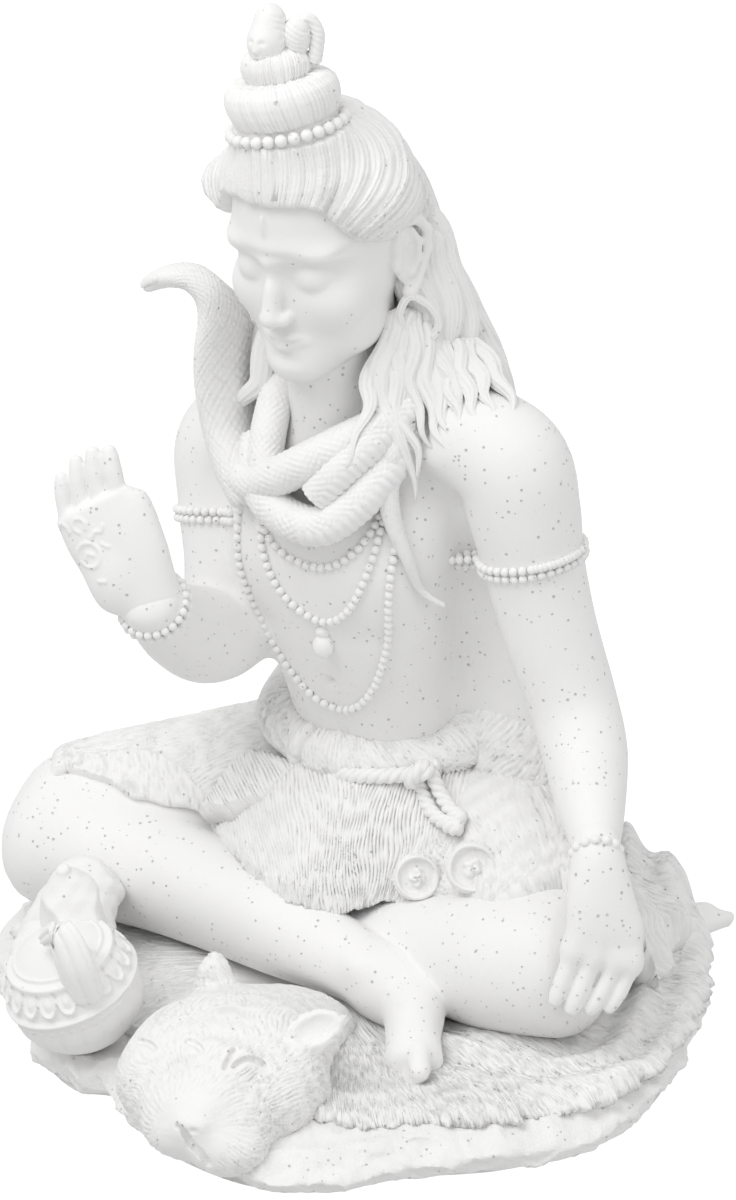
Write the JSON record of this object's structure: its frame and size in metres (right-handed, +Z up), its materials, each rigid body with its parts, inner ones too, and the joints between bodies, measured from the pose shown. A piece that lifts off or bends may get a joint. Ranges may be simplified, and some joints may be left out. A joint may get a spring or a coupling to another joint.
{
  "type": "shiva figure",
  "caption": "Seated cross-legged deity figure on a tiger pelt, one hand raised in blessing, cast in one piece with its rocky base, cobra and water pot.",
  "frame": {"origin": "middle of the slab's flat underside", "axes": "+Z up, -Y to the front where the figure faces, +X to the figure's left hand side"},
  "size_m": [0.1806, 0.1741, 0.2462],
  "materials": {
    "cast_stone": "matte white cast stone with small pinholes"
  },
  "bodies": {
    "root": {"shiva_figure": "cast_stone"}
  },
  "joints": []
}
